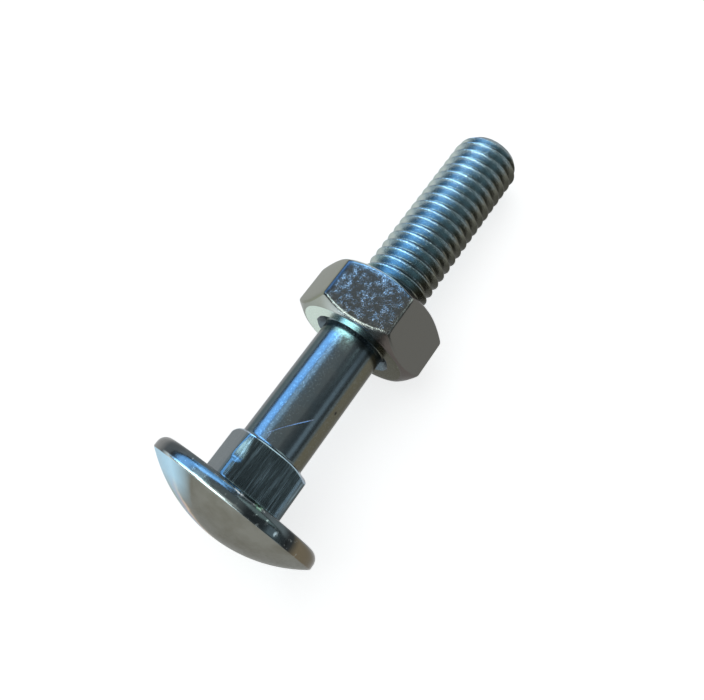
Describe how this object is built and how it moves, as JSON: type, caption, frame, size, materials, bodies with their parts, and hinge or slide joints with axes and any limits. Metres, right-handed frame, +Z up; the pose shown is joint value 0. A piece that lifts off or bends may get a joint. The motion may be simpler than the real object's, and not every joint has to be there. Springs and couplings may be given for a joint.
{
  "type": "carriage bolt",
  "caption": "Round-head square-neck carriage bolt with a hexagon nut run up to the end of its thread.",
  "frame": {"origin": "the middle of the box's lower face: on the plane that the bolt lies on, under the middle of its length and width", "axes": "+Z up from the plane it lies on, +X along the bolt from its head to its tip (the bolt's own axis falls 6.25 degrees towards the tip), +Y across"},
  "size_m": [0.0668, 0.0242, 0.0241],
  "materials": {
    "bolt": "bright zinc plate",
    "nut": "zinc plate"
  },
  "bodies": {
    "bolt": {"bolt": "bolt"},
    "nut": {"nut": "nut"}
  },
  "joints": [
    {"name": "nut_travel", "type": "slide", "parent": "bolt", "child": "nut", "axis": [0.9941, 0, -0.1089], "range_m": [0, 0.027]}
  ]
}
